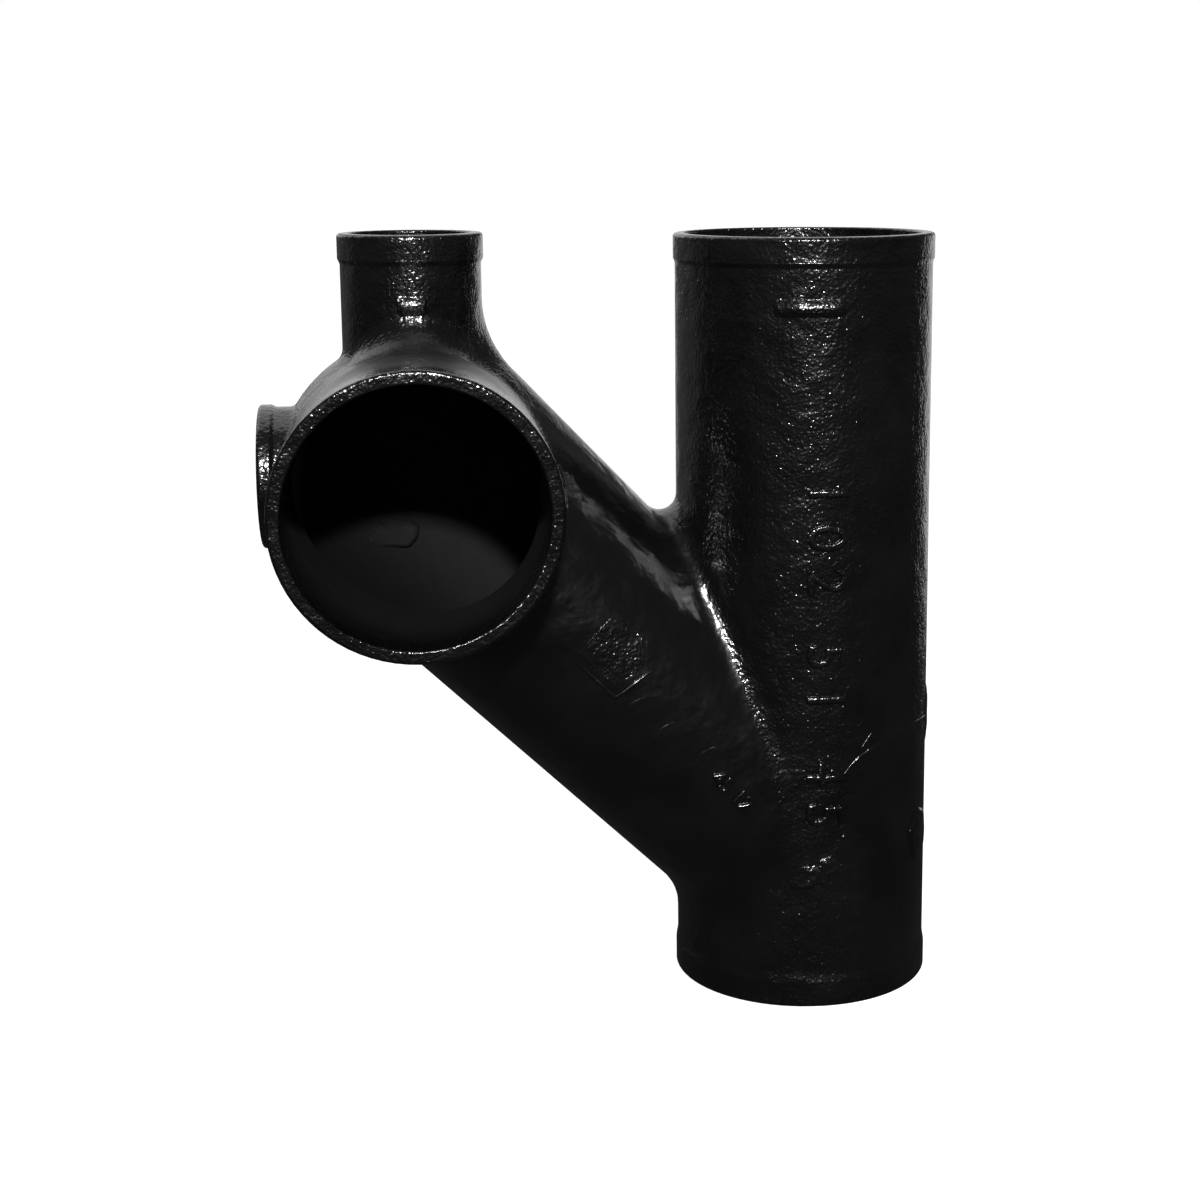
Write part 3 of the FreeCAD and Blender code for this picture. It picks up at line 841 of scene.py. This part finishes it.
def white_room(tree, at, direction):
    """1 toward what is white in the room: the backdrop behind the fitting, the
    ceiling it sweeps up to on the left and overhead, and a low card on the right. The
    wall on the left is dim, and the front is dark, which gives 0."""
    x, y = at
    dim_share = 0.085
    # The card and the wall end at this tilt from level.
    none, full = 0.16, 0.1
    behind = toward(tree, at, direction, room_aim(0, 0), 19, 11)
    sweep = toward(tree, (x, y + 1), direction, room_aim(-25, 42), 43, 35)
    overhead = toward(tree, (x, y + 2), direction, room_aim(0, 72), 27, 13)
    card = toward(tree, (x, y + 3), direction, room_aim(16, 0), 27, 19)
    wall = toward(tree, (x, y + 4), direction, room_aim(-48, 0), 42, 12)
    dim = calculated(tree, "MULTIPLY", (x + 2, y + 4), wall, dim_share)
    beside = calculated(tree, "MAXIMUM", (x + 3, y + 4), card, dim)
    parts = add_node(tree, "ShaderNodeSeparateXYZ", (x, y + 5))
    tree.links.new(direction, parts.inputs[0])
    tilt = calculated(tree, "ABSOLUTE", (x + 1, y + 5), parts.outputs[2])
    level = add_node(tree, "ShaderNodeMapRange", (x + 2, y + 5), From_Min=none, From_Max=full)
    tree.links.new(tilt, level.inputs["Value"])
    sides = calculated(tree, "MULTIPLY", (x + 4, y + 3), beside, level.outputs[0])
    back = calculated(tree, "MAXIMUM", (x + 2, y), behind, sweep)
    high = calculated(tree, "MAXIMUM", (x + 3, y), back, overhead)
    return calculated(tree, "MAXIMUM", (x + 5, y), high, sides)


def lay_floor(look):
    """A wide plain floor that looks white to the camera and that all other light
    meets as plain pale paint. The fitting mirrors it white behind and dark in front,
    as it does the room."""
    reach, drop, glow_strength = 60, -look.floor_drop, 0.78
    made = bpy.data.materials.new("studio_floor")
    made.use_nodes = True
    tree = made.node_tree
    tree.nodes.clear()
    link = tree.links.new
    where = add_node(tree, "ShaderNodeTexCoord", (-6, 0)).outputs["Object"]
    direction = passed(tree, "NORMALIZE", (-5, 0), where)
    camera, seen = seen_directly(tree, (-5, 2))
    white = calculated(tree, "MAXIMUM", (-1, -1), white_room(tree, (-7, -6), direction), camera)
    matt = add_node(tree, "ShaderNodeBsdfDiffuse", (0, 1), Color=(*look.floor, 1))
    dark = add_node(tree, "ShaderNodeEmission", (0, 3), Strength=look.floor_front)
    glow = add_node(tree, "ShaderNodeEmission", (0, 2), Strength=glow_strength)
    bright = add_node(tree, "ShaderNodeAddShader", (1, 1))
    mirrored = add_node(tree, "ShaderNodeMixShader", (2, 1))
    pick = add_node(tree, "ShaderNodeMixShader", (3, 0))
    out = add_node(tree, "ShaderNodeOutputMaterial", (4, 0))
    link(matt.outputs[0], bright.inputs[0])
    link(glow.outputs[0], bright.inputs[1])
    link(white, mirrored.inputs[0])
    link(dark.outputs[0], mirrored.inputs[1])
    link(bright.outputs[0], mirrored.inputs[2])
    link(seen, pick.inputs[0])
    link(matt.outputs[0], pick.inputs[1])
    link(mirrored.outputs[0], pick.inputs[2])
    link(pick.outputs[0], out.inputs[0])
    mesh = bpy.data.meshes.new("floor")
    corners = [(-reach, -reach, drop), (reach, -reach, drop), (reach, reach, drop),
               (-reach, reach, drop)]
    mesh.from_pydata(corners, [], [(0, 1, 2, 3)])
    mesh.materials.append(made)
    floor = bpy.data.objects.new("floor", mesh)
    bpy.context.scene.collection.objects.link(floor)


def light_surround(look):
    """Plain light from all round, and a white backdrop for the camera. What the
    fitting mirrors is the room: white behind and above, and dark in front."""
    world = bpy.data.worlds.new("studio_surround")
    bpy.context.scene.world = world
    world.use_nodes = True
    tree = world.node_tree
    tree.nodes.clear()
    link = tree.links.new
    direction = add_node(tree, "ShaderNodeTexCoord", (-6, 1)).outputs["Generated"]
    camera, seen_too = seen_directly(tree, (-5, 0))
    white = calculated(tree, "MAXIMUM", (-2, 1), white_room(tree, (-8, 2), direction), camera)
    seen = add_node(tree, "ShaderNodeBackground", (0, 0), Color=(1, 1, 1, 1))
    soft = add_node(tree, "ShaderNodeBackground", (0, 1), Color=(1, 1, 1, 1),
                    Strength=look.surround)
    pick = add_node(tree, "ShaderNodeMixShader", (1, 0))
    out = add_node(tree, "ShaderNodeOutputWorld", (2, 0))
    link(between(tree, (-1, 1), white, look.front, 1.0), seen.inputs["Strength"])
    link(seen_too, pick.inputs[0])
    link(soft.outputs[0], pick.inputs[1])
    link(seen.outputs[0], pick.inputs[2])
    link(pick.outputs[0], out.inputs[0])


def hang_lamp(power):
    """One square soft lamp in front and above, which faces the fitting."""
    place, aim, size = Vector((-0.15, -2.27, 1.34)), Vector((-0.1, 0, 0.2)), 0.12
    light = bpy.data.lights.new("key_lamp", "AREA")
    light.shape = "SQUARE"
    light.size = size
    light.energy = power
    lamp = bpy.data.objects.new("key_lamp", light)
    bpy.context.scene.collection.objects.link(lamp)
    turn = (aim - place).to_track_quat("-Z", "Y")
    lamp.matrix_world = Matrix.Translation(place) @ turn.to_matrix().to_4x4()


def place_camera():
    """The camera at the photograph's viewing angle."""
    ahead_flat = Vector((-math.sin(CAMERA_TURN), math.cos(CAMERA_TURN), 0))
    right_flat = Vector((math.cos(CAMERA_TURN), math.sin(CAMERA_TURN), 0))
    upright = Vector((0, 0, 1))
    ahead = ahead_flat * math.cos(CAMERA_TILT) - upright * math.sin(CAMERA_TILT)
    above = ahead_flat * math.sin(CAMERA_TILT) + upright * math.cos(CAMERA_TILT)
    right = right_flat * math.cos(CAMERA_ROLL) + above * math.sin(CAMERA_ROLL)
    above = above * math.cos(CAMERA_ROLL) - right_flat * math.sin(CAMERA_ROLL)
    lens = bpy.data.cameras.new("camera")
    lens.lens = CAMERA_LENS
    lens.sensor_width = 36
    lens.shift_x, lens.shift_y = CAMERA_SHIFT
    lens.clip_start, lens.clip_end = 0.01, 200
    camera = bpy.data.objects.new("camera", lens)
    bpy.context.scene.collection.objects.link(camera)
    turn = Matrix((right, above, -ahead)).transposed().to_4x4()
    camera.matrix_world = Matrix.Translation(CAMERA_PLACE) @ turn
    bpy.context.scene.camera = camera


class FITTING_PT_panel(bpy.types.Panel):
    """Shows the fitting's settings and the buttons of its operators in the sidebar"""
    bl_idname = "FITTING_PT_panel"
    bl_label = "Drain Fitting"
    bl_space_type = "VIEW_3D"
    bl_region_type = "UI"
    bl_category = "Drain Fitting"

    def draw(self, context):
        for group in (context.scene.fitting_stage, context.scene.fitting_coating,
                      context.scene.fitting_marks):
            box = self.layout.box()
            for name in group.__annotations__:
                box.prop(group, name)
        for operator in OPERATORS:
            self.layout.operator(operator.bl_idname)


GROUPS = {"fitting_coating": CoatingLook, "fitting_marks": MarkSizes,
          "fitting_stage": StageLook}
OPERATORS = (FITTING_OT_stage, FITTING_OT_casting, FITTING_OT_stack_figures,
             FITTING_OT_branch_figures, FITTING_OT_lug_coats, FITTING_OT_stack_marks,
             FITTING_OT_branch_marks, FITTING_OT_core_scab, FITTING_OT_bead_coats,
             FITTING_OT_pad_edge)


def register():
    for name, group in GROUPS.items():
        bpy.utils.register_class(group)
        setattr(bpy.types.Scene, name, bpy.props.PointerProperty(type=group))
    for thing in OPERATORS + (FITTING_PT_panel,):
        bpy.utils.register_class(thing)


def unregister():
    for thing in (FITTING_PT_panel,) + OPERATORS:
        bpy.utils.unregister_class(thing)
    for name, group in GROUPS.items():
        delattr(bpy.types.Scene, name)
        bpy.utils.unregister_class(group)


def main():
    """Registers the add-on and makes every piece."""
    register()
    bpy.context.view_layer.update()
    bpy.ops.fitting.stage()
    bpy.ops.fitting.casting()
    bpy.ops.fitting.stack_figures()
    bpy.ops.fitting.branch_figures()
    bpy.ops.fitting.lug_coats()
    bpy.ops.fitting.stack_marks()
    bpy.ops.fitting.branch_marks()
    bpy.ops.fitting.core_scab()
    bpy.ops.fitting.bead_coats()
    bpy.ops.fitting.pad_edge()


if __name__ == "__main__":
    main()
